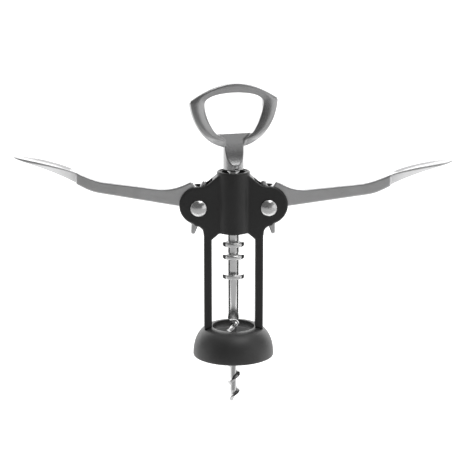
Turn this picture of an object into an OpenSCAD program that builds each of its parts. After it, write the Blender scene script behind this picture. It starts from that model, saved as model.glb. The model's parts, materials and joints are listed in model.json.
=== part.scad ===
// Lever corkscrew: a slotted frame on a bottle collar, two geared arms that
// lift a ringed rack shaft with a worm, and a crown-cap opener for a handle.
// +Z is up, +X runs along the spread arms, and the origin is the centre of
// the collar's lower rim. Left is -X. Millimetres, real size.

/* [Frame] */
// Height of the barrel's top lip above the collar's rim
barrel_top = 94.9; // [94.5:0.1:95.0]
// Outer radius of the barrel that guides the shaft
barrel_r = 8.2; // [8.0:0.1:8.4]
// Radius of the barrel's bore
barrel_bore_r = 6.2; // [6.1:0.1:6.3]
// Height where the barrel ends above the window
barrel_foot = 63.9; // [63.6:0.1:64.2]
// Full thickness of the frame across the two ear plates
frame_t = 9.2; // [9:0.1:9.6]
// Width of the slot the arms turn in
slot_t = 6.2; // [6.1:0.1:6.4]
// Radius of each round ear
ear_r = 9.6; // [9.2:0.1:10]
// Height of each ear's centre above the pivot
ear_rise = 1.3; // [0:0.1:1.6]
// Inner face of each leg, from the shaft's axis
leg_in = 10.9; // [10.7:0.1:11.0]
// Outer face of each leg, from the shaft's axis
leg_out = 14.8; // [14.4:0.1:15.0]

/* [Collar] */
// Outer radius of the collar's rim
bell_r = 20.4; // [20:0.1:21]
// Height of the collar
bell_h = 14.9; // [14.6:0.1:15.2]
// Radius of the collar's top hole
bell_hole_r = 10.6; // [10.4:0.1:10.7]
// Radius of the collar's open mouth
bell_mouth_r = 17.6; // [17:0.1:18]

/* [Arms] */
// Distance of each pivot from the shaft's axis
pivot_x = 17.4; // [17.4:0.1:17.5]
// Height of the pivots
pivot_z = 76.8; // [76.6:0.1:77]
// Thickness of each arm
arm_t = 5.8; // [5.4:0.1:5.9]
// How far the left arm rests above the right one, either side of the mean
arm_lean = 1.0; // [0:0.1:1]
// Widest part of the finger paddle
paddle_w = 9.6; // [9:0.2:10.4]
// Tip radius of the teeth
gear_tip_r = 13.8; // [13.4:0.1:13.8]
// Radius at the bottom of the teeth
gear_root_r = 9.0; // [8.4:0.1:9.4]
// Tooth thickness on the pitch circle
tooth_t = 2.5; // [2.2:0.1:2.5]
// Direction of the first tooth of the left arm, from +X
tooth_phase = -11.7; // [-12:0.1:-11.4]

/* [Shaft and worm] */
// Core radius of the rack shaft
shaft_r = 2.9; // [2.7:0.05:2.95]
// Radius of the rack's rings
ring_r = 5.6; // [5.4:0.05:5.6]
// Ring thickness on the pitch line
ring_t = 2.4; // [2.2:0.1:2.4]
// Height of the fifth ring's centre above the pivots
ring_phase = 0.3; // [0.2:0.05:0.4]
// Centre height of the stop collar
stop_z = 41.35; // [40.5:0.05:41.8]
// Lower end of the shaft
shaft_foot = 18; // [17:0.5:19]
// Outer radius of the worm's thread
worm_r = 3.5; // [3.3:0.1:3.7]
// Core radius of the worm
worm_core_r = 1.5; // [1.3:0.1:1.7]
// Rise of the worm's thread in one turn
worm_pitch = 9.25; // [9:0.05:9.5]
// Height of the worm's point
worm_tip = -25.8; // [-27:0.1:-24]
// Direction of the thread where the point begins, from +X
worm_turn = 41; // [0:1:90]

/* [Handle] */
// Turn of the opener handle about the shaft
handle_turn = 14; // [0:1:25]
// Thickness of the opener ring where it meets the stem
handle_t = 6.4; // [6:0.1:7]
// Radius of the handle's stem
stem_r = 5.1; // [5.0:0.1:5.2]
// Lower end of the stem
stem_foot = 95.6; // [95.5:0.1:95.9]
// Half width of the opener ring at its corners
opener_w = 22.4; // [22:0.1:22.8]
// Height of the opener ring's corners
corner_z = 130.2; // [129.8:0.1:130.6]
// Height of the opener ring's crown
crown_z = 138.8; // [138.4:0.1:139]
// Height of the straight lip that lifts a crown cap
lip_z = 114; // [113.6:0.1:114.2]

/* [Hidden] */
$fn = 96;
pad = 1; // overrun of every cut
fit = 0.05; // radial gap of a fitted joint
run = 0.06; // radial gap of a running joint

ear_z = pivot_z + ear_rise;
slot_foot = pivot_z - gear_tip_r - 0.4; // slot clears the teeth
slot_top = 90.6;
bush_z = slot_top + 0.6;
bush_r = 6.9;
bush_bore_r = 6.0;
leg_foot = 11.6; // legs end in pockets of the collar
leg_t = 9.0;
leg_blend = 4.4; // fillet from an ear to its leg
pin_r = 2.5; // rivet shank
head_r = 4.2;
head_h = 1.7;
tail_r = 3.6;
tail_h = 1.2;
washer_t = 0.7;
washer_r = 4.4;

gear_pr = 12.2; // pitch radius of the toothed hub
rack_pitch = 2 * PI * gear_pr / 12;
rack_rings = 7;
first_ring = -4; // index of the lowest ring
press_a = 12; // pressure angle
base_r = gear_pr * cos(press_a);

shaft_top = 100.4; // the shaft ends inside the stem
pin_z = 97.2;
cross_pin_r = 1.3;
crown_t = 4.0; // thickness of the opener ring at its crown
bevel_t = 2.0; // depth of the bevels on each face of the ring
hollow_z = 109.9; // where the hollow down the stem starts
hollow_in = 1.5; // depth of its floor, from the middle of the ring
hollow_r = 20;
hollow_w = 9.7;

// ---- helpers ----

// a shape drawn in x, y and stood up in x, z, centred on y = 0
module upright(t) {
  rotate([90, 0, 0]) linear_extrude(t, center = true) children();
}

// both sides of the shaft
module both_sides() {
  children();
  mirror([1, 0, 0]) children();
}

function bezier(a, b, c, d, steps) = [
  for (i = [0 : steps]) let(t = i / steps, s = 1 - t)
    s * s * s * a + 3 * s * s * t * b + 3 * s * t * t * c + t * t * t * d
];

// ---- frame ----

module frame_side() {
  // web between the barrel, the ear and the leg
  polygon(concat(
    [[-1, barrel_foot], [7, barrel_foot], [leg_in, 60.5], [leg_in, 50]],
    [[leg_out, 50], [leg_out, 63.2], [18.6, ear_z - 9.4], [pivot_x, ear_z]],
    [[pivot_x - 2, ear_z + ear_r - 0.2], [12.6, 89.0]],
    [[7.9, barrel_top - 1.9], [-1, barrel_top - 1.9]]
  ));
  translate([pivot_x, ear_z]) circle(ear_r);
}

module leg_fillet() {
  // solid corner with a round bite, outside the leg and under the ear
  difference() {
    polygon([[leg_out - 1, 60], [leg_out - 1, 72], [20, 72], [20, 69.2]]);
    translate([leg_out + leg_blend, 63.3]) circle(leg_blend);
    translate([leg_out, 52]) square([20, 11.3]);
    translate([leg_out + leg_blend, 60]) square([10, 8.6]);
  }
}

module frame() {
  color([0.05, 0.05, 0.05]) difference() {
    union() {
      both_sides() {
        upright(frame_t) frame_side();
        upright(frame_t) leg_fillet();
        translate([leg_in, -leg_t / 2, leg_foot])
          cube([leg_out - leg_in, leg_t, 52 - leg_foot]);
      }
      translate([0, 0, barrel_foot]) cylinder(r = barrel_r, h = barrel_top - barrel_foot);
    }
    // guide bore, and the wider seat of the bush above it
    translate([0, 0, barrel_foot - pad])
      cylinder(r = barrel_bore_r, h = barrel_top - barrel_foot + 2 * pad);
    translate([0, 0, bush_z]) cylinder(r = bush_r + run, h = barrel_top - bush_z + pad);
    // slot for the toothed hubs
    translate([-40, -slot_t / 2, slot_foot]) cube([80, slot_t, slot_top - slot_foot]);
    both_sides() translate([pivot_x, 0, pivot_z]) rotate([90, 0, 0])
      cylinder(r = pin_r + fit, h = frame_t + 2 * pad, center = true);
  }
}

// ---- collar ----

module bell() {
  shoulder = [
    for (a = [0 : 9 : 81])
      [bell_hole_r + 0.6 + (bell_r - bell_hole_r - 0.6) * pow(cos(a), 0.96),
       0.6 + (bell_h - 0.6) * pow(sin(a), 0.96)]
  ];
  color([0.07, 0.07, 0.07]) difference() {
    rotate_extrude() polygon(concat(
      [[bell_mouth_r + 0.5, 0], [bell_r - 0.4, 0]],
      shoulder,
      [[bell_hole_r + 0.7, bell_h], [bell_hole_r, bell_h - 0.6]],
      [[bell_hole_r, 11.0], [14.3, 9.6], [bell_mouth_r, 0.7]]
    ));
    both_sides() translate([leg_in - fit, -leg_t / 2 - fit, leg_foot])
      cube([leg_out - leg_in + 2 * fit, leg_t + 2 * fit, 6]);
  }
}

// ---- pivots ----

module cap(r, h) {
  ball = (r * r + h * h) / (2 * h);
  intersection() {
    translate([0, 0, h - ball]) sphere(ball);
    cylinder(r = r, h = h);
  }
}

module rivet() {
  rotate([90, 0, 0]) {
    translate([0, 0, -frame_t / 2 - washer_t]) cylinder(r = pin_r, h = frame_t + washer_t);
    translate([0, 0, frame_t / 2]) cap(head_r, head_h);
    translate([0, 0, -frame_t / 2 - washer_t]) mirror([0, 0, 1]) cap(tail_r, tail_h);
  }
}

module rivet_washer() {
  translate([0, frame_t / 2, 0]) rotate([-90, 0, 0]) difference() {
    cylinder(r = washer_r, h = washer_t);
    translate([0, 0, -pad]) cylinder(r = pin_r + fit, h = washer_t + 2 * pad);
  }
}

module rivet_left() {
  color([0.85, 0.85, 0.86]) translate([-pivot_x, 0, pivot_z]) rivet();
}

module rivet_right() {
  color([0.85, 0.85, 0.86]) translate([pivot_x, 0, pivot_z]) rivet();
}

module rivet_washer_left() {
  color([0.75, 0.75, 0.77]) translate([-pivot_x, 0, pivot_z]) rivet_washer();
}

module rivet_washer_right() {
  color([0.75, 0.75, 0.77]) translate([pivot_x, 0, pivot_z]) rivet_washer();
}

// ---- arms ----

function involute(a) = tan(a) * 180 / PI - a;

// half the angle a tooth takes up at radius r
function tooth_half(r) =
  tooth_t / (2 * gear_pr) * 180 / PI + involute(press_a)
  - (r > base_r ? involute(acos(base_r / r)) : 0);

module tooth() {
  flank = [for (i = [0 : 3]) base_r + (gear_tip_r - base_r) * i / 3];
  root = gear_root_r - 1;
  polygon(concat(
    [[root, -1.9]],
    [for (r = flank) [r * cos(tooth_half(r)), -r * sin(tooth_half(r))]],
    [for (i = [3 : -1 : 0]) [flank[i] * cos(tooth_half(flank[i])), flank[i] * sin(tooth_half(flank[i]))]],
    [[root, 1.9]]
  ));
}

// side of an arm from its hub out: a runs outward, b up
module arm_side() {
  polygon(concat(
    [[-4, -6], [-2, 8], [1.9, 10.6], [3.3, 12.95]],
    bezier([4.4, 12.95], [8.6, 10.9], [12.5, 8.9], [19, 9.25], 8),
    bezier([46, 12.4], [51, 13.1], [53, 14.2], [60.5, 17.2], 6),
    bezier([60.5, 11.3], [55, 8.3], [53, 7.3], [47.5, 6.5], 5),
    [[9, 0.4], [4, -6]]
  ));
}

// side of the finger paddle
module paddle_side() {
  polygon(concat(
    [[58.5, 15.9]],
    bezier([60.5, 17.2], [68, 20.3], [76, 22.2], [91.4, 24.6], 8),
    bezier([91.5, 23.9], [82, 21.3], [71, 17.5], [60.5, 11.3], 8),
    [[58.5, 10.7]]
  ));
}

// the paddle seen from above
module paddle_plan() {
  w = paddle_w / 2;
  edge = concat(
    [[58.5, 2.8]],
    bezier([60.5, arm_t / 2], [66, 3.7], [70, w], [77, w], 6),
    bezier([77, w], [86, w], [91.5, w * 0.6], [91.5, 0], 7)
  );
  polygon(concat(edge, [for (i = [len(edge) - 2 : -1 : 0]) [edge[i][0], -edge[i][1]]]));
}

// what is cut from under one edge of the paddle, so that it narrows to a keel
module paddle_flank() {
  intersection() {
    translate([60.5, arm_t / 2, 16.4]) rotate([0, -13.3, 0]) rotate([-27, 0, 3.7])
      translate([-10, 0, -20]) cube([60, 20, 40]);
    translate([60.5, -10, 5]) cube([40, 20, 25]);
  }
}

module arm() {
  difference() {
    union() {
      upright(arm_t) {
        circle(gear_root_r);
        // the teeth are counted on the left arm, whose outward side is -X
        for (k = [0 : 6]) rotate(180 - tooth_phase + 90 - 30 * k) tooth();
        arm_side();
      }
      intersection() {
        upright(2 * paddle_w) paddle_side();
        linear_extrude(60) paddle_plan();
      }
    }
    for (s = [0, 1]) mirror([0, s, 0]) paddle_flank();
    // shallow hollow along the paddle's top
    translate([73.1, 0, 25.15]) rotate([0, 76, 0]) cylinder(r = 5, h = 40, center = true);
    rotate([90, 0, 0]) cylinder(r = pin_r + run, h = arm_t + 2 * pad, center = true);
  }
}

module lever_left() {
  color([0.7, 0.7, 0.72]) translate([-pivot_x, 0, pivot_z]) mirror([1, 0, 0])
    rotate([0, -arm_lean, 0]) arm();
}

module lever_right() {
  color([0.7, 0.7, 0.72]) translate([pivot_x, 0, pivot_z]) rotate([0, arm_lean, 0]) arm();
}

// ---- shaft ----

module guide_bush() {
  color([0.04, 0.04, 0.04]) difference() {
    translate([0, 0, bush_z]) cylinder(r = bush_r, h = barrel_top - bush_z - 0.3);
    translate([0, 0, bush_z - pad]) cylinder(r = bush_bore_r, h = 8);
  }
}

// one rack ring: straight flanks at the pressure angle and a broken rim
module ring_profile() {
  pitch_x = pivot_x - gear_pr;
  lean = tan(press_a);
  top = ring_r - 0.4;
  inner = ring_t / 2 + (pitch_x - 2) * lean;
  outer = ring_t / 2 - (top - pitch_x) * lean;
  polygon([
    [2, -inner], [top, -outer], [ring_r, -outer + 0.45],
    [ring_r, outer - 0.45], [top, outer], [2, inner]
  ]);
}

module rack_shaft() {
  color([0.8, 0.8, 0.82]) difference() {
    rotate_extrude() {
      translate([0, stop_z - 1.2]) square([shaft_r, shaft_top - stop_z + 1.2]);
      polygon([
        [0, shaft_foot], [2.2, shaft_foot], [shaft_r - 0.15, shaft_foot + 1],
        [shaft_r - 0.15, stop_z - 1.2], [0, stop_z - 1.2]
      ]);
      for (k = [first_ring : first_ring + rack_rings - 1])
        translate([0, pivot_z + ring_phase + rack_pitch * k]) ring_profile();
    }
    // socket of the worm's shank
    translate([0, 0, shaft_foot - pad]) cylinder(r = worm_core_r + fit, h = 9 + pad);
    rotate([0, 0, handle_turn]) translate([0, 0, pin_z]) rotate([90, 0, 0])
      cylinder(r = cross_pin_r + fit, h = 20, center = true);
  }
}

module stop_collar() {
  color([0.78, 0.78, 0.8]) difference() {
    rotate_extrude() translate([0, stop_z]) polygon([
      [0, -1.2], [ring_r - 0.4, -1.2], [ring_r, -0.8],
      [ring_r, 0.8], [ring_r - 0.4, 1.2], [0, 1.2]
    ]);
    translate([0, 0, stop_z - 5]) cylinder(r = shaft_r + fit, h = 10);
  }
}

// section of the thread: a round core and one tapering fin
module worm_section() {
  circle(worm_core_r);
  fin = [for (i = [0 : 3]) worm_core_r * 0.8 + (worm_r - worm_core_r * 0.8) * i / 3];
  turn = [48, 36, 25, 13]; // half the fin's angle at each radius
  polygon(concat(
    [for (i = [0 : 3]) [fin[i] * cos(turn[i]), -fin[i] * sin(turn[i])]],
    [for (i = [3 : -1 : 0]) [fin[i] * cos(turn[i]), fin[i] * sin(turn[i])]]
  ));
}

module worm() {
  point_h = 7; // length of the tapered point
  body_h = shaft_foot - 0.5 - worm_tip - point_h;
  color([0.75, 0.75, 0.77]) {
    translate([0, 0, shaft_foot - 1.5]) cylinder(r = worm_core_r, h = 10.3);
    translate([0, 0, worm_tip + point_h]) rotate(worm_turn)
      linear_extrude(body_h, twist = -360 * body_h / worm_pitch, slices = 96, $fn = 20)
        worm_section();
    translate([0, 0, worm_tip + point_h]) rotate(worm_turn) mirror([0, 0, 1])
      linear_extrude(point_h, twist = 360 * point_h / worm_pitch, slices = 20, scale = 0.12,
          $fn = 20)
        worm_section();
  }
}

// ---- handle ----

module opener_outline() {
  side = bezier([opener_w, corner_z - 0.5], [21.4, 119.6], [15.2, 108.4], [4.2, 106.9], 12);
  crown = bezier([0, crown_z], [8.5, crown_z], [17, 134.1], [opener_w - 0.5, corner_z + 0.7], 8);
  right = concat(crown, side);
  polygon(concat(right, [for (i = [len(right) - 1 : -1 : 1]) [-right[i][0], right[i][1]]]));
}

module opener_opening() {
  half = concat(
    bezier([0, 133.9], [6, 133.9], [13.9, 132.9], [14.9, 129.4], 8),
    bezier([14.9, 129.4], [15.3, 126], [13, 118.4], [9, lip_z], 6)
  );
  polygon(concat(half, [for (i = [len(half) - 1 : -1 : 1]) [-half[i][0], half[i][1]]]));
}

// the ring's plate, with an outer bevel on each face that widens toward the stem
module opener_plate() {
  half = handle_t / 2;
  thin = crown_t / 2;
  intersection() {
    union() {
      upright(handle_t - 2 * bevel_t) opener_outline();
      for (s = [0, 180]) rotate([0, 0, s])
        translate([0, bevel_t + 0.1 - half, crown_z]) rotate([90, 0, 0])
          linear_extrude(bevel_t + 0.1, scale = [0.98, 0.89], slices = 1)
            translate([0, -crown_z]) opener_outline();
    }
    rotate([90, 0, 90]) linear_extrude(60, center = true) polygon([
      [-half, 90], [-half, 112], [-thin, 132], [-thin, 145],
      [thin, 145], [thin, 132], [half, 112], [half, 90]
    ]);
  }
}

// what is sunk into one face: the bevelled opening, the lip and the hollow down the stem
module opener_recess() {
  translate([0, -1.2, 118]) rotate([90, 0, 0])
    linear_extrude(2.1, scale = [1.31, 1.2], slices = 1)
      translate([0, -118]) opener_opening();
  translate([0, -hollow_in, 0]) rotate([90, 0, 0]) linear_extrude(5)
    polygon([
      [-hollow_w / 2, hollow_z - 0.3], [hollow_w / 2, hollow_z - 0.3], [hollow_w / 2, 110.6], [8, lip_z],
      [8, lip_z + 1], [-8, lip_z + 1], [-8, lip_z], [-hollow_w / 2, 110.6]
    ]);
  translate([0, -hollow_in - hollow_r, hollow_z]) rotate([0, 90, 0])
    cylinder(r = hollow_r, h = hollow_w, center = true);
}

module opener_handle() {
  color([0.7, 0.7, 0.72]) rotate([0, 0, handle_turn]) difference() {
    union() {
      opener_plate();
      translate([0, 0, stem_foot]) cylinder(r = stem_r, h = 111 - stem_foot);
    }
    upright(20) opener_opening();
    for (s = [0, 180]) rotate([0, 0, s]) opener_recess();
    translate([0, 0, stem_foot - pad]) cylinder(r = shaft_r + fit, h = shaft_top + 0.2 - stem_foot + pad);
    translate([0, 0, pin_z]) rotate([90, 0, 0]) cylinder(r = cross_pin_r + fit, h = 20, center = true);
  }
}

module cross_pin() {
  color([0.75, 0.75, 0.77]) rotate([0, 0, handle_turn]) translate([0, 0, pin_z])
    rotate([90, 0, 0]) cylinder(r = cross_pin_r, h = 9.6, center = true);
}

frame();
bell();
rivet_left();
rivet_right();
rivet_washer_left();
rivet_washer_right();
lever_left();
lever_right();
guide_bush();
opener_handle();
cross_pin();
rack_shaft();
stop_collar();
worm();
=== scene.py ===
"""Lever corkscrew: the visual model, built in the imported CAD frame.

Cast and moulded pieces are described as rounded solids (a signed distance in
millimetres) and meshed by solid_mesh(); turned pieces are lathed from a
profile; the worm is swept along its helix.
"""

import json
import math

import bpy
import numpy as np
from mathutils import Matrix, Vector


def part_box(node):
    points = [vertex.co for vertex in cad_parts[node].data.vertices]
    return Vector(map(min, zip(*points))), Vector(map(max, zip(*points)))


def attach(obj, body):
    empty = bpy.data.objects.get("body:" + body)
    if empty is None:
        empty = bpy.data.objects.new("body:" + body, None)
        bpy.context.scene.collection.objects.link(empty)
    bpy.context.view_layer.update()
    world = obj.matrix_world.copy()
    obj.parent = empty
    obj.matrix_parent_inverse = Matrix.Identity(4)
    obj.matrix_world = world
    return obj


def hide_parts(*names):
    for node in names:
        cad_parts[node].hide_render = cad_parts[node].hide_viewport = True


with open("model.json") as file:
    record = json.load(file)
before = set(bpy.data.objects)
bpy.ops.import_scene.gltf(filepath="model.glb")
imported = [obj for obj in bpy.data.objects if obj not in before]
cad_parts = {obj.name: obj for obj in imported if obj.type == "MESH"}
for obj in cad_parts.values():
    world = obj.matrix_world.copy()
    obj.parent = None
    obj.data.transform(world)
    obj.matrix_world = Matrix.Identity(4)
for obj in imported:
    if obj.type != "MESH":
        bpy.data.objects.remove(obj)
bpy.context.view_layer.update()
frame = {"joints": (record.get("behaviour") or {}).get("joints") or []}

MM = 0.001
COARSE = 1.0  # mesh step while trying things out

# positions taken from the frame, in millimetres
JOINTS = {j["name"]: j for j in frame["joints"]}
PIVOT_X = JOINTS["lever_right_pivot"]["pos_m"][0] / MM
PIVOT_Z = JOINTS["lever_right_pivot"]["pos_m"][2] / MM


def box_mm(node):
    """Lowest and highest corner of a CAD node, in millimetres."""
    lo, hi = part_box(node)
    return np.array(lo) / MM, np.array(hi) / MM


FRAME_LO, FRAME_HI = box_mm("frame")
BELL_HI = box_mm("bell")[1]
HANDLE_LO, HANDLE_HI = box_mm("opener_handle")
SHAFT_LO, SHAFT_HI = box_mm("rack_shaft")
WORM_LO = box_mm("worm")[0]
BUSH_LO, BUSH_HI = box_mm("guide_bush")
STOP_LO, STOP_HI = box_mm("stop_collar")
PIN_LO, PIN_HI = box_mm("cross_pin")

# ---------------------------------------------------------------- solids


def rmax(a, b, r):
    """Intersection of two solids with their shared edge rounded to radius r."""
    u, v = np.maximum(a + r, 0), np.maximum(b + r, 0)
    return np.minimum(np.maximum(a, b), -r) + np.sqrt(u * u + v * v)


def rmin(a, b, r):
    """Union of two solids with the corner between them filleted to radius r."""
    return -rmax(-a, -b, r)


def poly(x, z, points):
    """Signed distance to a closed polygon in a plane, negative inside."""
    x, z = np.broadcast_arrays(x, z)
    best = np.full(x.shape, 1e18)
    inside = np.zeros(x.shape, bool)
    n = len(points)
    for i in range(n):
        (ax, az), (bx, bz) = points[i], points[(i + 1) % n]
        ex, ez = bx - ax, bz - az
        px, pz = x - ax, z - az
        t = np.clip((px * ex + pz * ez) / max(ex * ex + ez * ez, 1e-12), 0, 1)
        qx, qz = px - ex * t, pz - ez * t
        best = np.minimum(best, qx * qx + qz * qz)
        if az != bz:
            crosses = (az > z) != (bz > z)
            inside ^= crosses & (px < ex * pz / ez)
    return np.where(inside, -1.0, 1.0) * np.sqrt(best)


def bezier(a, b, c, d, steps):
    """Points of a cubic curve, ends included."""
    t = np.linspace(0, 1, steps + 1)[:, None]
    a, b, c, d = (np.array(p, float) for p in (a, b, c, d))
    p = (1 - t) ** 3 * a + 3 * (1 - t) ** 2 * t * b + 3 * (1 - t) * t**2 * c + t**3 * d
    return [tuple(q) for q in p]


# a grid cell's corners, and the pairs of them that its twelve edges join
CORNERS = [(i, j, k) for i in (0, 1) for j in (0, 1) for k in (0, 1)]
EDGES = [(0, 1), (2, 3), (4, 5), (6, 7), (0, 2), (1, 3),
         (4, 6), (5, 7), (0, 4), (1, 5), (2, 6), (3, 7)]
PROBE = 0.02  # distance over which a solid's slope is measured
LEAST_SLOPE = 0.25  # squared, so that a flat spot throws no vertex far away
LONGEST_MOVE = 0.6  # of a grid step, in one round of settling
SETTLE_ROUNDS = 2
RELAX_ROUNDS = 2


def settled(solid, p, step):
    """Points moved along the solid's slope until they lie on its surface."""
    for _ in range(SETTLE_ROUNDS):
        here = solid(p[:, 0], p[:, 1], p[:, 2])
        slope = np.stack([solid(p[:, 0] + PROBE * (i == 0), p[:, 1] + PROBE * (i == 1),
                                p[:, 2] + PROBE * (i == 2)) - here for i in range(3)], 1) / PROBE
        move = -here[:, None] * slope / np.maximum((slope * slope).sum(1), LEAST_SLOPE)[:, None]
        size = np.linalg.norm(move, axis=1, keepdims=True)
        p = p + move * np.minimum(1, LONGEST_MOVE * step / np.maximum(size, 1e-9))
    return p


def relaxed(verts, ends):
    """Points moved halfway to the mean of the points they share an edge with."""
    total = np.zeros_like(verts)
    hits = np.zeros(len(verts))
    np.add.at(total, ends[:, 0], verts[ends[:, 1]])
    np.add.at(total, ends[:, 1], verts[ends[:, 0]])
    np.add.at(hits, ends[:, 0], 1)
    np.add.at(hits, ends[:, 1], 1)
    return verts + 0.5 * (total / hits[:, None] - verts)


def cell_points(values):
    """In each cell, the mean of the points where the surface cuts its edges."""
    total = np.zeros((len(values[0]), 3))
    hits = np.zeros(len(values[0]))
    for a, b in EDGES:
        va, vb = values[a], values[b]
        cut = (va < 0) != (vb < 0)
        t = np.where(cut, va / np.where(cut, va - vb, 1), 0)[:, None]
        p = np.array(CORNERS[a]) * (1 - t) + np.array(CORNERS[b]) * t
        total += np.where(cut[:, None], p, 0)
        hits += cut
    return total / hits[:, None]


def cell_quads(full, index):
    """A quad across each grid edge that passes through the surface, facing outward."""
    faces = []
    for d in range(3):
        e, g = [(1, 2), (2, 0), (0, 1)][d]
        near = [slice(1, -1)] * 3
        near[d] = slice(0, -1)
        far = [slice(1, -1)] * 3
        far[d] = slice(1, None)
        a, b = full[tuple(near)], full[tuple(far)]
        at = np.nonzero(a != b)
        ijk = np.stack(at, 1)
        ijk[:, e] += 1
        ijk[:, g] += 1
        around = []
        for de, dg in ((-1, -1), (0, -1), (0, 0), (-1, 0)):
            q = ijk.copy()
            q[:, e] += de
            q[:, g] += dg
            around.append(index[q[:, 0], q[:, 1], q[:, 2]])
        quad = np.stack(around, 1)
        out = a[at]
        quad[~out] = quad[~out][:, ::-1]
        faces.append(quad)
    return np.concatenate(faces)


def solid_mesh(name, solid, lo, hi, step):
    """Meshes the surface of a solid with quads and settles each vertex on it."""
    step = step * COARSE
    axes = [np.arange(lo[i] - 1.5 * step, hi[i] + 2.5 * step, step) for i in range(3)]
    shape = tuple(len(a) for a in axes)
    v = solid(axes[0][:, None, None], axes[1][None, :, None], axes[2][None, None, :])
    v = np.broadcast_to(v, shape)
    full = v < 0
    cell = tuple(s - 1 for s in shape)

    def corner(a, c):
        return a[c[0]:c[0] + cell[0], c[1]:c[1] + cell[1], c[2]:c[2] + cell[2]]

    count = sum(corner(full, c).astype(np.int8) for c in CORNERS)
    active = np.nonzero((count > 0) & (count < 8))
    index = np.full(cell, -1, np.int64)
    index[active] = np.arange(len(active[0]))
    base = np.stack(active, 1)
    values = [v[base[:, 0] + c[0], base[:, 1] + c[1], base[:, 2] + c[2]] for c in CORNERS]
    origin = np.array([a[0] for a in axes])
    verts = settled(solid, origin + (base + cell_points(values)) * step, step)

    faces = cell_quads(full, index)
    ends = np.concatenate([faces[:, [0, 1]], faces[:, [1, 2]], faces[:, [2, 3]], faces[:, [3, 0]]])
    for _ in range(RELAX_ROUNDS):
        verts = settled(solid, relaxed(verts, ends), step)
    return new_mesh(name, verts, faces)


def new_mesh(name, verts, faces):
    """A smooth-shaded object from points in millimetres."""
    mesh = bpy.data.meshes.new(name)
    mesh.from_pydata((np.asarray(verts) * MM).tolist(), [], [list(map(int, f)) for f in faces])
    mesh.validate()
    mesh.polygons.foreach_set("use_smooth", [True] * len(mesh.polygons))
    mesh.update()
    o = bpy.data.objects.new(name, mesh)
    bpy.context.scene.collection.objects.link(o)
    return o


ARC_STEPS = 4


def round_profile(points, radii):
    """A closed profile with each corner turned into an arc, all of one radius or each of its own."""
    out = []
    n = len(points)
    for i in range(n):
        r = radii[i] if hasattr(radii, "__len__") else radii
        a, b, c = (np.array(points[(i + k) % n], float) for k in (-1, 0, 1))
        u, w = a - b, c - b
        lu, lw = np.linalg.norm(u), np.linalg.norm(w)
        cosine = np.clip(u @ w / (lu * lw), -1, 1)
        half = math.acos(cosine) / 2
        if r <= 0 or half > math.pi / 2 - 0.02:  # sharp, or nearly straight
            out.append(tuple(b))
            continue
        cut = min(r / math.tan(half), 0.48 * lu, 0.48 * lw)
        r = cut * math.tan(half)
        start, end = b + u / lu * cut, b + w / lw * cut
        centre = b + (u / lu + w / lw) / np.linalg.norm(u / lu + w / lw) * r / math.sin(half)
        a0 = math.atan2(*(start - centre)[::-1])
        a1 = math.atan2(*(end - centre)[::-1])
        turn = (a1 - a0 + math.pi) % (2 * math.pi) - math.pi
        for t in np.linspace(0, 1, ARC_STEPS + 1):
            q = a0 + turn * t
            out.append((centre[0] + r * math.cos(q), centre[1] + r * math.sin(q)))
    return out


def lathe(name, profile, sides, closed=True):
    """Turns a closed profile of (radius, height) about Z. Points on the axis become poles."""
    turn = np.linspace(0, 2 * math.pi, sides, endpoint=False)
    verts, rings = [], []
    for r, z in profile:
        if r < 1e-6:
            rings.append([len(verts)] * sides)
            verts.append((0, 0, z))
        else:
            rings.append(list(range(len(verts), len(verts) + sides)))
            verts += [(r * math.cos(a), r * math.sin(a), z) for a in turn]
    faces = []
    n = len(profile)
    for i in range(n if closed else n - 1):
        a, b = rings[i], rings[(i + 1) % n]
        for s in range(sides):
            t = (s + 1) % sides
            loop = [a[s], a[t], b[t], b[s]]
            loop = [q for k, q in enumerate(loop) if q not in loop[:k]]
            if len(loop) > 2:
                faces.append(loop)
    return new_mesh(name, verts, faces)


# ---------------------------------------------------------------- frame

BARREL_TOP = FRAME_HI[2]
BARREL_R = FRAME_HI[1]
BARREL_FOOT = 63.9
BORE_R = 6.2
BUSH_SEAT_R, BUSH_SEAT_Z = 6.96, 91.2
PLATE_Y = 4.6  # half thickness across the ear plates
SLOT_Y = 3.1  # half width of the slot the arm's hub turns in
SLOT_FOOT, SLOT_TOP = PIVOT_Z - 14.2, 90.6
EAR_R = FRAME_HI[0] - PIVOT_X
EAR_Z = PIVOT_Z + 1.3
LEG_Y = 4.5
LEG_IN, LEG_OUT = 10.9, 14.8
LEG_FOOT, LEG_TOP = 8.0, 66.0  # the collar and the mesh's lower bound cut the foot shorter
MESH_FOOT = 10.8
COLLAR_GAP = 0.06
PIN_R, HEAD_R = 2.5, 4.3
PIN_GAP = 0.05

# the round corner between an ear and the outside of its leg: its arc, and the patch it is cut from
FILLET_R, FILLET_Z = 4.4, 63.3
CORNER = [(13.8, 60), (13.8, 72), (20, 72), (20, 69.2)]

# the sloping web that joins barrel, ear and leg, right half
WEB_TOP = BARREL_TOP - 1.9
WEB = [(-3, BARREL_FOOT), (7.0, BARREL_FOOT), (LEG_IN, 60.5), (LEG_IN, 50), (LEG_OUT, 50),
       (LEG_OUT, 66), (15.2, 70), (18.6, 78), (15.2, 87.3), (12.4, 89.2), (7.9, WEB_TOP),
       (-3, WEB_TOP)]

BELL_R = min(BELL_HI[0], BELL_HI[1])
BELL_H = BELL_HI[2]
BELL_HOLE = 10.6
RIM_H = 0.6  # the rim stands this far up before the dome starts
DOME_POWER = 0.96


def bell_shoulder():
    """Outline of the collar's dome, from its rim up to the edge of the top hole."""
    shoulder = []
    flat = BELL_HOLE + 0.6
    for q in np.linspace(0, 81, 19):
        a = math.radians(q)
        shoulder.append((flat + (BELL_R - flat) * math.cos(a) ** DOME_POWER,
                         RIM_H + (BELL_H - RIM_H) * math.sin(a) ** DOME_POWER))
    return shoulder


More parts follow.
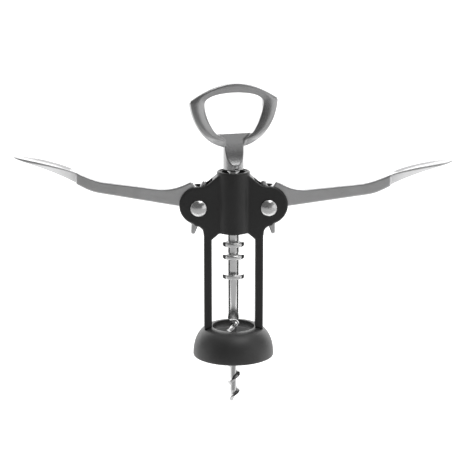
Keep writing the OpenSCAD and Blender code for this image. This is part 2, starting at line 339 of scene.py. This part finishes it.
def bell_solid(x, y, z):
    """The collar as the legs meet it; the visible collar has softer edges."""
    points = ([(18.1, 0), (BELL_R - 0.4, 0)] + bell_shoulder()
              + [(BELL_HOLE + 0.7, BELL_H), (BELL_HOLE, BELL_H - 0.6), (BELL_HOLE, 11.0),
                 (14.3, 9.6), (17.6, 0.7)])
    return poly(np.hypot(x, y), z, points)


def frame_solid(x, y, z):
    """The black moulding: ears, webs and legs joined to the barrel, then what is cut from it."""
    ax, ay = np.abs(x), np.abs(y)
    from_axis = np.hypot(x, y)
    ear = np.hypot(ax - PIVOT_X, z - EAR_Z) - EAR_R
    web = poly(ax, z, WEB)
    side = rmin(ear, web, 2.0)
    fillet = FILLET_R - np.hypot(ax - LEG_OUT - FILLET_R, z - FILLET_Z)
    corner = np.maximum(poly(ax, z, CORNER), fillet)
    corner = np.maximum(corner, np.maximum(FILLET_Z - z, ax - LEG_OUT - FILLET_R - 0.4))
    side = rmin(side, corner, 0.8)
    plates = rmax(side, ay - PLATE_Y, 1.0)
    leg = np.maximum(np.abs(ax - (LEG_IN + LEG_OUT) / 2) - (LEG_OUT - LEG_IN) / 2,
                     np.maximum(LEG_FOOT - z, z - LEG_TOP))
    legs = rmax(leg, ay - LEG_Y, 0.7)
    barrel = rmax(from_axis - BARREL_R, np.abs(z - (BARREL_FOOT + BARREL_TOP) / 2)
                  - (BARREL_TOP - BARREL_FOOT) / 2, 0.5)
    body = rmin(np.minimum(plates, legs), barrel, 0.7)
    bore = from_axis - BORE_R
    seat = np.maximum(from_axis - BUSH_SEAT_R, BUSH_SEAT_Z - z)
    slot = np.maximum(ay - SLOT_Y, np.maximum(SLOT_FOOT - z, z - SLOT_TOP))
    hole = np.hypot(ax - PIVOT_X, z - PIVOT_Z) - PIN_R - PIN_GAP
    body = rmax(body, -bore, 0.35)
    body = rmax(body, -seat, 0.2)
    body = rmax(body, -slot, 0.3)
    body = rmax(body, -hole, 0.2)
    return rmax(body, COLLAR_GAP - bell_solid(x, y, z), 0.15)


# ---------------------------------------------------------------- arms

ARM_Y = 2.9  # half thickness of the arm
PADDLE_Y = 4.8  # half width of the paddle
PADDLE_END = 91.5
LEAN = 1.0  # degrees the arms droop as pictured
HUB_GAP = 0.06

# involute teeth that mesh with the shaft's rings
ROOT_R, PITCH_R, TIP_R = 9.0, 12.2, 13.8
TOOTH_T = 2.5  # thickness at the pitch circle
PRESS = math.radians(12)
BASE_R = PITCH_R * math.cos(PRESS)
TEETH_ON_ARM, TEETH_ROUND = 7, 12
TOOTH_PHASE = -11.7

# the hollow in a paddle's top: the land left beside it, and how square its section is
SCOOP_LAND, SCOOP_POWER = 0.5, 2.8

# outlines in the arm's own plane, in order: hub, arm, shoulder where the paddle starts
ARM_SIDE = ([(-4, -6), (-2, 8), (1.9, 10.6), (3.3, 12.95)]
            + bezier((4.4, 12.95), (8.6, 10.9), (12.5, 8.9), (19, 9.25), 12)
            + bezier((46, 12.4), (51, 13.1), (53, 14.2), (60.5, 17.2), 8)
            + bezier((60.5, 11.3), (55, 8.3), (53, 7.3), (47.5, 6.5), 8) + [(9, 0.4), (4, -6)])
PADDLE_RIM = bezier((60.5, 17.2), (68, 20.3), (76, 22.2), (91.4, 24.6), 14)
PADDLE_KEEL = bezier((PADDLE_END, 23.9), (82, 21.3), (71, 17.5), (60.5, 11.3), 14)
PADDLE_SIDE = [(57.0, 15.4)] + PADDLE_RIM + PADDLE_KEEL + [(57.0, 10.0)]
PADDLE_EDGE = (bezier((60.4, ARM_Y), (66, 3.8), (70, PADDLE_Y), (77, PADDLE_Y), 12)
               + bezier((77, PADDLE_Y), (86, PADDLE_Y), (PADDLE_END, PADDLE_Y * 0.6),
                        (PADDLE_END, 0), 10)[1:])
PADDLE_PLAN = [(57.0, 2.8)] + PADDLE_EDGE
PADDLE_PLAN = PADDLE_PLAN + [(a, -w) for a, w in PADDLE_PLAN[-2::-1]]


def involute(a):
    """The involute function of an angle."""
    return math.tan(a) - a


def tooth_half(r):
    """Half the angle of a tooth at radius r, in radians."""
    roll = involute(math.acos(BASE_R / r)) if r > BASE_R else 0
    return TOOTH_T / (2 * PITCH_R) + involute(PRESS) - roll


def tooth_outline(turn):
    """One tooth as seen on the arm, pointing at angle turn."""
    radii = [BASE_R + (TIP_R - BASE_R) * i / 4 for i in range(5)]
    half = ([(ROOT_R - 1, -1.9)] + [(r * math.cos(tooth_half(r)), -r * math.sin(tooth_half(r)))
                                    for r in radii])
    points = half + [(x, -y) for x, y in half[::-1]]
    c, s = math.cos(turn), math.sin(turn)
    return [(x * c - y * s, x * s + y * c) for x, y in points]


TEETH = [tooth_outline(math.radians(270 - TOOTH_PHASE - 360 / TEETH_ROUND * k))
         for k in range(TEETH_ON_ARM)]


def arm_solid(a, y, b):
    """The right arm, level: a runs outward from its pivot and b up."""
    ay = np.abs(y)
    side = rmin(poly(a, b, ARM_SIDE), np.hypot(a, b) - ROOT_R, 0.8)
    for outline in TEETH:
        side = rmin(side, poly(a, b, outline), 0.5)
    arm = rmax(side, ay - ARM_Y, 0.8)
    paddle = rmax(poly(a, b, PADDLE_SIDE), poly(a, y, PADDLE_PLAN), 0.25)
    # the underside slopes in from a thin rim to a keel, flatter toward the tip
    rim = np.interp(a, [q[0] for q in PADDLE_RIM], [q[1] for q in PADDLE_RIM])
    width = np.interp(a, [q[0] for q in PADDLE_EDGE], [q[1] for q in PADDLE_EDGE])
    slope = np.interp(a, [60, 80], [0.46, 0.95])
    band = np.interp(a, [60, 70, 84], [0.3, 0.8, 1.2])
    flank = (ay - width + slope * (rim - band - b)) / np.hypot(1, slope)
    paddle = rmax(paddle, flank, 0.2)
    # a hollow along the top, steepest just inside its rim
    depth = np.interp(a, [60.5, 65, 80, PADDLE_END], [0.0, 1.4, 1.2, 0.4])
    half = np.maximum(width - SCOOP_LAND, 0.3)
    out = np.clip(ay / half, 0, 1.3)
    floor = rim - depth * (1 - out ** SCOOP_POWER)
    steep = depth * SCOOP_POWER * out ** (SCOOP_POWER - 1) / half
    paddle = rmax(paddle, (b - floor) / np.hypot(1.02, steep), 0.25)
    body = rmin(arm, paddle, 0.3)
    bore = np.hypot(a, b) - PIN_R - HUB_GAP
    return rmax(body, -bore, 0.2)


# ---------------------------------------------------------------- handle

HANDLE_TURN = 14.0  # degrees about the shaft, as pictured
HANDLE_Y = 3.2  # half thickness of the ring at the stem
RING_THINNING = 1.2  # lost from that half thickness at the crown
LIMB_CROWN = 0.3
STEM_R = 5.1
STEM_FOOT = HANDLE_LO[2]
STEM_TOP = 111.5  # inside the ring's foot
CROWN_Z = HANDLE_HI[2]
CORNER_Z = 130.2  # the height of the ring's widest corners
OPENER_W = 22.4
SHOULDER = (14.9, 129.4)  # the opening's upper corner
CREASE_SHOULDER = (16.2, 130.0)
LIP_Z = 114.0
LIP_FOOT = 110.8
SHAFT_HOLE_R = 2.95
PIN_Z = (PIN_LO[2] + PIN_HI[2]) / 2
CROSS_PIN_R = 1.3
CROSS_PIN_HALF = 4.8

# the hollow down the stem, front and back: the height where it starts to run out, the half
# thickness left behind it, the radius it runs out on, and its half width
TONGUE_Z, TONGUE_Y, TONGUE_R, TONGUE_W = 109.9, 1.5, 20.0, 4.85


def mirrored(half):
    """A closed outline from its right half; points on the axis are not repeated."""
    return half + [(-x, z) for x, z in half[::-1] if x > 1e-6]


OPENER_OUTER = mirrored(
    bezier((0, CROWN_Z), (8.5, CROWN_Z), (17, 134.1), (OPENER_W - 0.5, CORNER_Z + 0.7), 12)
    + bezier((OPENER_W, CORNER_Z - 0.5), (21.4, 119.6), (15.2, 108.4), (4.2, 106.9), 16))
OPENER_INNER = mirrored(
    bezier((0, 133.9), (6, 133.9), (13.9, 132.9), SHOULDER, 10)
    + bezier(SHOULDER, (15.3, 126), (13, 118.4), (9.0, LIP_Z), 10)[1:])
# where the front face turns down toward the opening
OPENER_CREASE = mirrored(
    bezier((0, 134.9), (8, 134.9), (15.0, 134.3), CREASE_SHOULDER, 12)
    + bezier(CREASE_SHOULDER, (17.0, 124.0), (14.2, 115.8), (TONGUE_W, LIP_FOOT), 14)[1:])


def handle_solid(x, y, z):
    """The opener ring and its stem, facing the front; build_handle() turns it."""
    ay = np.abs(y)
    outer = poly(x, z, OPENER_OUTER)
    inner = poly(x, z, OPENER_INNER)
    crease = poly(x, z, OPENER_CREASE)
    half = HANDLE_Y - RING_THINNING * np.clip((z - 112) / 20, 0, 1)
    # each limb's face is slightly crowned between the opening and the outer edge
    across = np.clip(crease / np.maximum(crease - outer, 1e-6), 0, 1)
    face = ay - half + LIMB_CROWN * (2 * across - 1) ** 2
    # an outer bevel that widens toward the stem
    low = np.clip((CORNER_Z - 6 - z) / 14, 0, 1) ** 2.2
    width, depth = 0.35 + 3.3 * low, 0.3 + 1.8 * low
    bevel_out = (ay - half + depth * (1 + outer / width)) / np.hypot(1, depth / width)
    ring = rmax(outer, face, 0.3)
    ring = rmax(ring, bevel_out, 0.5)
    ring = rmax(ring, -inner, 0.3)
    stem = rmax(np.hypot(x, y) - STEM_R, np.maximum(STEM_FOOT - z, z - STEM_TOP), 0.25)
    body = rmin(ring, stem, 0.25)
    body = rmax(body, -recess(x, ay, z, crease, half), 0.2)
    body = rmax(body, -inner, 0.25)
    bore = np.maximum(np.hypot(x, y) - SHAFT_HOLE_R, z - SHAFT_HI[2] - 0.2)
    pin = np.hypot(x, z - PIN_Z) - CROSS_PIN_R + 0.05  # a press fit
    return rmax(rmax(body, -bore, 0.1), -pin, 0.05)


def recess(x, ay, z, crease, half):
    """What is taken away in front and behind: the bevelled opening and the hollow down the stem."""
    slope = 0.85 + 0.8 * np.clip((118 - z) / 4, 0, 1)
    bevel = np.maximum(crease, (half + slope * crease - ay) / np.hypot(1, slope))
    bevel = np.maximum(bevel, TONGUE_Y - ay)
    drop = np.clip(TONGUE_Z - z, 0, None)
    hollow = (TONGUE_Y + drop * drop / (2 * TONGUE_R) - ay) / np.hypot(1, drop / TONGUE_R)
    lip_w = TONGUE_W + 1.2 * np.clip(z - LIP_FOOT, 0, 3.0)  # the floor widens into the lip
    hollow = np.maximum(hollow, np.maximum(np.abs(x) - lip_w, z - LIP_Z - 1.0))
    return np.minimum(bevel, hollow)


# ---------------------------------------------------------------- materials

def nodes_of(name):
    """A new material, its node tree, its shader and its object coordinates."""
    m = bpy.data.materials.new(name)
    m.use_nodes = True
    tree = m.node_tree
    shader = tree.nodes["Principled BSDF"]
    place = tree.nodes.new("ShaderNodeTexCoord")
    return m, tree, shader, place.outputs["Object"]


NOISE_SPAN = (0.3, 0.7)


def noise(tree, place, scale, detail=2.0, stretch=None):
    """Noise in object space; scale is in features a metre."""
    if stretch is not None:
        mapping = tree.nodes.new("ShaderNodeMapping")
        mapping.inputs["Scale"].default_value = stretch
        tree.links.new(place, mapping.inputs["Vector"])
        place = mapping.outputs["Vector"]
    n = tree.nodes.new("ShaderNodeTexNoise")
    n.inputs["Scale"].default_value = scale
    n.inputs["Detail"].default_value = detail
    tree.links.new(place, n.inputs["Vector"])
    return n.outputs["Fac"]


def between(tree, fac, low, high):
    """Noise spread over a range; most of it lies in NOISE_SPAN."""
    n = tree.nodes.new("ShaderNodeMapRange")
    n.inputs["From Min"].default_value = NOISE_SPAN[0]
    n.inputs["From Max"].default_value = NOISE_SPAN[1]
    n.inputs["To Min"].default_value = low
    n.inputs["To Max"].default_value = high
    tree.links.new(fac, n.inputs["Value"])
    return n.outputs["Result"]


def tint(tree, fac, dark, light):
    """A colour between two, by a factor."""
    n = tree.nodes.new("ShaderNodeMix")
    n.data_type = "RGBA"
    n.inputs["A"].default_value = (*dark, 1)
    n.inputs["B"].default_value = (*light, 1)
    tree.links.new(fac, n.inputs["Factor"])
    return n.outputs["Result"]


def bump(tree, height, strength, distance, before=None):
    """A bumped normal, on top of an earlier one if given; distance is in metres."""
    n = tree.nodes.new("ShaderNodeBump")
    n.inputs["Strength"].default_value = strength
    n.inputs["Distance"].default_value = distance
    tree.links.new(height, n.inputs["Height"])
    if before is not None:
        tree.links.new(before, n.inputs["Normal"])
    return n.outputs["Normal"]


def satin_metal(name, shade, rough, stretch):
    """Satin-plated zinc: fine directional finishing marks over a softly mottled plate."""
    m, tree, shader, place = nodes_of(name)
    shader.inputs["Metallic"].default_value = 1.0
    cloud = between(tree, noise(tree, place, scale=140, detail=3), 0, 1)
    grain = noise(tree, place, scale=2600, stretch=stretch)
    dents = noise(tree, place, scale=900)
    colour = tint(tree, cloud, [shade * 0.90] * 3, [shade, shade, shade * 1.01])
    fine = bump(tree, grain, strength=0.10, distance=0.00004)
    normal = bump(tree, dents, strength=0.06, distance=0.0001, before=fine)
    tree.links.new(colour, shader.inputs["Base Color"])
    tree.links.new(between(tree, grain, rough - 0.05, rough + 0.06), shader.inputs["Roughness"])
    tree.links.new(normal, shader.inputs["Normal"])
    return m


def plated_metal(name, shade, rough, stretch):
    """Bright nickel plate with faint turning marks and handling haze."""
    m, tree, shader, place = nodes_of(name)
    shader.inputs["Metallic"].default_value = 1.0
    haze = between(tree, noise(tree, place, scale=260, detail=3), 0, 1)
    marks = noise(tree, place, scale=1500, stretch=stretch)
    tree.links.new(tint(tree, haze, [shade * 0.92] * 3, [shade] * 3), shader.inputs["Base Color"])
    tree.links.new(between(tree, haze, rough, rough + 0.08), shader.inputs["Roughness"])
    tree.links.new(bump(tree, marks, strength=0.05, distance=0.00003), shader.inputs["Normal"])
    return m


def black_plastic(name, shade, rough, gloss):
    """Glass-filled nylon: near-black, with a fine moulded grain and slow gloss changes."""
    m, tree, shader, place = nodes_of(name)
    shader.inputs["Specular IOR Level"].default_value = gloss
    slow = between(tree, noise(tree, place, scale=90), 0, 1)
    grain = noise(tree, place, scale=4200)
    colour = tint(tree, slow, [shade * 0.88] * 3, [shade * 1.1] * 3)
    tree.links.new(colour, shader.inputs["Base Color"])
    tree.links.new(between(tree, grain, rough - 0.05, rough + 0.07), shader.inputs["Roughness"])
    tree.links.new(bump(tree, grain, strength=0.12, distance=0.00005), shader.inputs["Normal"])
    return m


# name, shade of grey, roughness, then the stretch of the marks or the gloss
ZINC_ARM = satin_metal("satin_zinc_arms", 0.55, 0.32, (1, 9, 9))
ZINC_HANDLE = satin_metal("satin_zinc_handle", 0.42, 0.26, (3, 3, 9))
POLISHED = plated_metal("polished_steel", 0.66, 0.20, (4, 4, 4))
NICKEL = plated_metal("nickel_shaft", 0.68, 0.14, (1, 1, 14))
WORM_STEEL = plated_metal("worm_steel", 0.46, 0.20, (2, 2, 8))
FRAME_BLACK = black_plastic("frame_black", 0.018, 0.42, 0.42)
BELL_BLACK = black_plastic("collar_black", 0.030, 0.44, 0.5)
BUSH_BLACK = black_plastic("bush_black", 0.012, 0.5, 0.4)


def finish_piece(o, material, body, cad_node):
    """Gives a piece its material and the body it rides on, and hides the CAD node it stands for."""
    o.data.materials.append(material)
    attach(o, body)
    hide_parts(cad_node)


# ---------------------------------------------------------------- pieces

def move_mesh(o, matrix):
    """Moves a mesh's own points, so that the object stays at the origin."""
    o.data.transform(matrix)
    if matrix.determinant() < 0:
        o.data.flip_normals()


def shift(x, y, z):
    """A move in millimetres."""
    return Matrix.Translation((x * MM, y * MM, z * MM))


def turned(degrees, axis):
    """A turn about one axis through the origin."""
    return Matrix.Rotation(math.radians(degrees), 4, axis)


def build_frame():
    o = solid_mesh("frame_moulding", frame_solid, (FRAME_LO[0], -BARREL_R, MESH_FOOT),
                   (FRAME_HI[0], BARREL_R, BARREL_TOP), step=0.42)
    finish_piece(o, FRAME_BLACK, "frame", "frame")


def build_bell():
    edge = [(BELL_HOLE + 0.35, BELL_H), (BELL_HOLE + 0.1, BELL_H - 0.08), (BELL_HOLE, BELL_H - 0.3)]
    ledge = [(BELL_HOLE, 11.4), (BELL_HOLE + 0.3, 11.0), (14.0, 9.9), (14.5, 9.3)]
    mouth = [(17.5, 0.9), (17.8, 0.2), (18.2, 0)]
    points = [(BELL_R - 0.5, 0), (BELL_R - 0.12, 0.18)] + bell_shoulder() + edge + ledge + mouth
    o = lathe("collar", points, 160)
    finish_piece(o, BELL_BLACK, "frame", "bell")


HEAD_H = 1.6
TAIL_R, TAIL_H = 3.6, 1.2
WASHER_R, WASHER_T = 4.4, 0.7


def cap_profile(r, h, base):
    """Profile of a domed head from its rim to its crown, standing on height base."""
    ball = (r * r + h * h) / (2 * h)
    top = math.asin(r / ball)
    return [(ball * math.sin(q), base + h - ball + ball * math.cos(q))
            for q in np.linspace(top, 0, 9)]


def build_rivets():
    back = PLATE_Y + WASHER_T
    dome = [(PIN_R, PLATE_Y), (HEAD_R - 0.2, PLATE_Y), (HEAD_R, PLATE_Y + 0.12)]
    dome += [(min(r, HEAD_R - 0.01), z + 0.1) for r, z in cap_profile(HEAD_R, HEAD_H, PLATE_Y)[1:]]
    tail = [(r, -z) for r, z in cap_profile(TAIL_R, TAIL_H, back)[::-1]]
    tail += [(TAIL_R - 0.2, -back), (PIN_R, -back)]
    ring = round_profile([(PIN_R + PIN_GAP, 0), (WASHER_R, 0), (WASHER_R, WASHER_T),
                          (PIN_R + PIN_GAP, WASHER_T)], 0.15)
    for side, sign in (("left", -1), ("right", 1)):
        o = lathe(f"rivet_{side}_head", dome + tail, 72)
        move_mesh(o, shift(sign * PIVOT_X, 0, PIVOT_Z) @ turned(90, "X"))
        finish_piece(o, POLISHED, "frame", f"rivet_{side}")
        w = lathe(f"washer_{side}", ring, 72)
        move_mesh(w, shift(sign * PIVOT_X, PLATE_Y, PIVOT_Z) @ turned(-90, "X"))
        finish_piece(w, POLISHED, "frame", f"rivet_washer_{side}")


def build_arms():
    base = solid_mesh("arm_right", arm_solid, (-TIP_R, -PADDLE_Y, -TIP_R),
                      (PADDLE_END + 0.1, PADDLE_Y, 25), step=0.36)
    other = bpy.data.objects.new("arm_left", base.data.copy())
    bpy.context.scene.collection.objects.link(other)
    seat = shift(PIVOT_X, 0, PIVOT_Z)
    move_mesh(base, seat @ turned(LEAN, "Y"))
    # the copy leans the other way, because the mirror then droops the same way as the base
    move_mesh(other, Matrix.Scale(-1, 4, (1, 0, 0)) @ seat @ turned(-LEAN, "Y"))
    finish_piece(base, ZINC_ARM, "lever_right", "lever_right")
    finish_piece(other, ZINC_ARM, "lever_left", "lever_left")


def build_handle():
    o = solid_mesh("opener", handle_solid, (-OPENER_W, -STEM_R, STEM_FOOT),
                   (OPENER_W, STEM_R, CROWN_Z), step=0.3)
    move_mesh(o, turned(HANDLE_TURN, "Z"))
    finish_piece(o, ZINC_HANDLE, "screw", "opener_handle")
    end, bevel = CROSS_PIN_HALF, 0.1
    pin = lathe("handle_pin", [(0, -end), (CROSS_PIN_R - bevel, -end), (CROSS_PIN_R, bevel - end),
                               (CROSS_PIN_R, end - bevel), (CROSS_PIN_R - bevel, end), (0, end)],
                48, closed=False)
    move_mesh(pin, turned(HANDLE_TURN, "Z") @ shift(0, 0, PIN_Z) @ turned(90, "X"))
    finish_piece(pin, ZINC_HANDLE, "screw", "cross_pin")


RACK_PITCH = 2 * math.pi * PITCH_R / TEETH_ROUND
RACK_RINGS = range(-4, 3)  # counted from the one level with the pivots
RACK_RISE = 0.3  # that ring's height above the pivots
RING_R, CORE_R = 5.7, 2.9
RING_T = 2.4  # thickness of a ring, near its rim
RING_T_R = 5.2  # the radius at which it is that thick, for its root
FOOT_R, FOOT_TOP = 2.86, 40.0  # the shaft below its lowest ring
SOCKET_R, SOCKET_H = 1.56, 9.0  # the hole in its foot that holds the worm
STOP_T = 2.4


def ring_profile(centre):
    """Outer points of one ring on the shaft, from below to above, with rolled edges."""
    lean = math.tan(PRESS)
    root = RING_T / 2 + (RING_T_R - CORE_R) * lean
    rim = RING_T / 2 - 0.4 * lean
    points = [(CORE_R, centre - root - 0.5), (CORE_R, centre - root), (RING_R, centre - rim),
              (RING_R, centre + rim), (CORE_R, centre + root), (CORE_R, centre + root + 0.5)]
    return round_profile(points, [0, 0.35, 0.8, 0.8, 0.35, 0])[1:-1]


def build_shaft():
    z0 = SHAFT_LO[2]
    points = [(SOCKET_R, z0), (2.0, z0), (2.3, z0 + 0.15), (FOOT_R, z0 + 1.0),
              (FOOT_R, FOOT_TOP - 0.1), (CORE_R, FOOT_TOP + 0.1)]
    for k in RACK_RINGS:
        points += ring_profile(PIVOT_Z + RACK_RISE + RACK_PITCH * k)
    points += [(CORE_R, SHAFT_HI[2]), (0, SHAFT_HI[2]), (0, z0 + SOCKET_H), (SOCKET_R, z0 + SOCKET_H)]
    o = lathe("shaft", points, 96)
    finish_piece(o, NICKEL, "screw", "rack_shaft")
    z = (STOP_LO[2] + STOP_HI[2]) / 2
    hole = CORE_R + 0.05
    ring = round_profile([(hole, z - STOP_T / 2), (RING_R, z - STOP_T / 2),
                          (RING_R, z + STOP_T / 2), (hole, z + STOP_T / 2)], [0.1, 0.55, 0.55, 0.1])
    o = lathe("stop_ring", ring, 96)
    finish_piece(o, NICKEL, "screw", "stop_collar")


BUSH_IN, BUSH_OUT = 6.0, 6.9


def build_bush():
    low, high = BUSH_LO[2], BUSH_HI[2]
    ring = round_profile([(BUSH_IN, low), (BUSH_OUT, low), (BUSH_OUT, high), (BUSH_IN, high)], 0.25)
    o = lathe("bush", ring, 96)
    finish_piece(o, BUSH_BLACK, "guide_bush", "guide_bush")


WORM_PITCH = 9.25
WORM_SIDE_Z = -10.6  # a height where the fin points to +X
WORM_R, WORM_CORE = 3.5, 1.6
POINT_LENGTH = 6.5  # over which core and fin are drawn out
POINT_CORE = 0.45
BLUNT = 0.5  # the last stretch, rounded off
FIN_START = 2.5  # length over which the fin rises at the top
DRIFT = 1.0  # how far the point leaves the axis as it follows the helix


def build_worm():
    """Sweeps a round core with one tapering fin down the helix, drawn out to a blunt point."""
    top, tip = SHAFT_LO[2] + 8.5, WORM_LO[2]
    body_top = SHAFT_LO[2] + 0.3
    taper_top = tip + POINT_LENGTH
    fin = np.concatenate([np.linspace(0, 1, 13), np.linspace(1, 0, 13)[1:]])
    side = np.concatenate([-np.ones(13), np.ones(12)])
    back = np.linspace(0, 1, 22)[1:-1]
    heights = np.concatenate([[top, top - 0.3], np.linspace(body_top, taper_top, 200),
                              np.linspace(taper_top, tip + BLUNT, 40)[1:],
                              tip + BLUNT * (1 - np.sin(np.linspace(0, 1, 6)[1:] * math.pi / 2))])
    verts = []
    for z in heights:
        start = np.clip((body_top - z) / FIN_START, 0, 1)
        left = np.clip((z - tip) / POINT_LENGTH, 0, 1)
        blunt = 1.0
        if z < tip + BLUNT:
            blunt = math.sqrt(max(0.0, 1 - (1 - (z - tip) / BLUNT) ** 2))
        core = (POINT_CORE + (WORM_CORE - POINT_CORE) * left ** 0.8) * max(blunt, 0.05)
        reach = (WORM_R - WORM_CORE) * (start * start * (3 - 2 * start)) * left ** 0.75 * blunt
        drift = DRIFT * (1 - left) ** 1.5
        twist = 2 * math.pi * (z - WORM_SIDE_Z) / WORM_PITCH
        cx, cy = drift * math.cos(twist), drift * math.sin(twist)
        ring = []
        for t, s in zip(fin, side):  # up one flank of the fin and down the other
            r = core + reach * t
            half = 1.5 * (1 - t) ** 1.15 + 0.30 * math.sqrt(max(0.0, 1 - t ** 6))
            half = min(half, 0.95 * core)
            ring.append((r * math.cos(half / r), s * r * math.sin(half / r)))
        first = math.atan2(ring[-1][1], ring[-1][0])
        for t in back:
            q = first + (2 * math.pi - 2 * first) * t
            ring.append((core * math.cos(q), core * math.sin(q)))
        for u, w in ring:
            verts.append((cx + u * math.cos(twist) - w * math.sin(twist),
                          cy + u * math.sin(twist) + w * math.cos(twist), z))
    n, rows = len(fin) + len(back), len(heights)
    faces = []
    for i in range(rows - 1):
        for s in range(n):
            t = (s + 1) % n
            faces.append((i * n + s, (i + 1) * n + s, (i + 1) * n + t, i * n + t))
    faces.append(list(range(n)))
    faces.append([(rows - 1) * n + s for s in range(n)][::-1])
    o = new_mesh("auger", verts, faces)
    finish_piece(o, WORM_STEEL, "screw", "worm")


# ---------------------------------------------------------------- studio

def emitter(name, shade, glow):
    """A matt studio surface that gives off a little light of its own."""
    m = bpy.data.materials.new(name)
    m.use_nodes = True
    b = m.node_tree.nodes["Principled BSDF"]
    b.inputs["Base Color"].default_value = (shade, shade, shade, 1)
    b.inputs["Roughness"].default_value = 0.9
    b.inputs["Specular IOR Level"].default_value = 0.0
    b.inputs["Emission Color"].default_value = (1, 1, 1, 1)
    b.inputs["Emission Strength"].default_value = glow
    return m


# the set, in metres: a square floor, and a sweep whose section is a line, an arc and a wall
FLOOR_Z = -0.075
FLOOR_HALF = 14.0
SWEEP_START = -0.08  # just in front of the object
SWEEP_LIFT = 0.0005  # above the floor
SWEEP_HALF, SWEEP_DEPTH, SWEEP_R, SWEEP_TOP = 7.0, 3.0, 1.5, 6.0
LIGHT_AIM = (0, 0, 0.07)
WORLD_GREY = 0.16


def add_stage(name, points, faces, *materials):
    """A part of the set, which belongs to no piece; gives its mesh."""
    mesh = bpy.data.meshes.new(name)
    mesh.from_pydata(points, [], faces)
    for m in materials:
        mesh.materials.append(m)
    o = bpy.data.objects.new(name, mesh)
    bpy.context.scene.collection.objects.link(o)
    return mesh


def area(name, where, size, power):
    """A soft rectangular light aimed at the middle of the object."""
    light = bpy.data.lights.new(name, "AREA")
    light.shape = "RECTANGLE"
    light.size, light.size_y = size
    light.energy = power
    o = bpy.data.objects.new(name, light)
    o.location = where
    o.rotation_mode = "QUATERNION"
    aim = Vector(LIGHT_AIM) - Vector(where)
    o.rotation_quaternion = aim.to_track_quat("-Z", "Y")
    bpy.context.scene.collection.objects.link(o)


def build_studio():
    """A pale floor, a white sweep under and behind the object, and soft lights, in metres."""
    s = FLOOR_HALF
    corners = [(-s, -s, FLOOR_Z), (s, -s, FLOOR_Z), (s, s, FLOOR_Z), (-s, s, FLOOR_Z)]
    add_stage("floor", corners, [(0, 1, 2, 3)], emitter("floor_pale", 0.5, 0.05))

    arc = [(SWEEP_DEPTH + SWEEP_R * math.sin(q), SWEEP_R - SWEEP_R * math.cos(q))
           for q in np.linspace(0, math.pi / 2, 12)[1:]]
    line = [(SWEEP_START, 0), (SWEEP_DEPTH, 0)] + arc + [(SWEEP_DEPTH + SWEEP_R, SWEEP_TOP)]
    rows = [[(x, y, FLOOR_Z + SWEEP_LIFT + z) for y, z in line] for x in (-SWEEP_HALF, SWEEP_HALF)]
    n = len(line)
    strips = [(i, i + n, i + n + 1, i + 1) for i in range(n - 1)]
    sweep = add_stage("sweep", rows[0] + rows[1], strips, emitter("sweep_white", 0.5, 0.95),
                      emitter("wall_white", 0.5, 2.2))
    for face in list(sweep.polygons)[1:]:
        face.material_index = 1

    world = bpy.data.worlds.new("studio")
    world.use_nodes = True
    background = world.node_tree.nodes["Background"]
    background.inputs["Color"].default_value = (WORLD_GREY, WORLD_GREY, WORLD_GREY, 1)
    background.inputs["Strength"].default_value = 1.0
    bpy.context.scene.world = world

    # name, place, size, power in watts
    area("key_above", (0.35, -0.45, 1.0), (0.7, 0.5), 4)
    area("right_soft", (1.0, -0.25, 0.30), (0.8, 1.2), 2.1)
    area("right_front", (0.75, -0.75, 0.0), (0.5, 0.8), 1.0)
    area("left_soft", (-1.0, -0.10, 0.25), (0.5, 0.9), 0.9)
    area("overhead", (0.0, 0.3, 1.6), (2.4, 2.0), 13)

    settings = bpy.context.scene.view_settings
    settings.view_transform = "Standard"
    settings.look = "None"


# the photograph's view: focal length in pixels of a picture 460 wide, then angles and distance
FOCAL_PX, PICTURE_PX, SENSOR_MM = 1548.0, 460.0, 36.0
CAMERA_TURN, CAMERA_PITCH = math.radians(-2.0), math.radians(13.5)
CAMERA_DISTANCE = 0.774
CAMERA_AIM = (-0.0017, 0.0, 0.0647)


def build_camera():
    cam = bpy.data.cameras.new("camera")
    cam.sensor_width = SENSOR_MM
    cam.lens = FOCAL_PX / PICTURE_PX * SENSOR_MM
    cam.clip_start, cam.clip_end = 0.05, 50.0
    o = bpy.data.objects.new("camera", cam)
    bpy.context.scene.collection.objects.link(o)
    level = math.cos(CAMERA_PITCH)
    back = Vector((math.sin(CAMERA_TURN) * level, -math.cos(CAMERA_TURN) * level,
                   math.sin(CAMERA_PITCH)))
    o.location = Vector(CAMERA_AIM) + back * CAMERA_DISTANCE
    o.rotation_mode = "QUATERNION"
    o.rotation_quaternion = (-back).to_track_quat("-Z", "Y")
    bpy.context.scene.camera = o


build_frame()
build_bell()
build_rivets()
build_arms()
build_handle()
build_shaft()
build_bush()
build_worm()
build_studio()
build_camera()
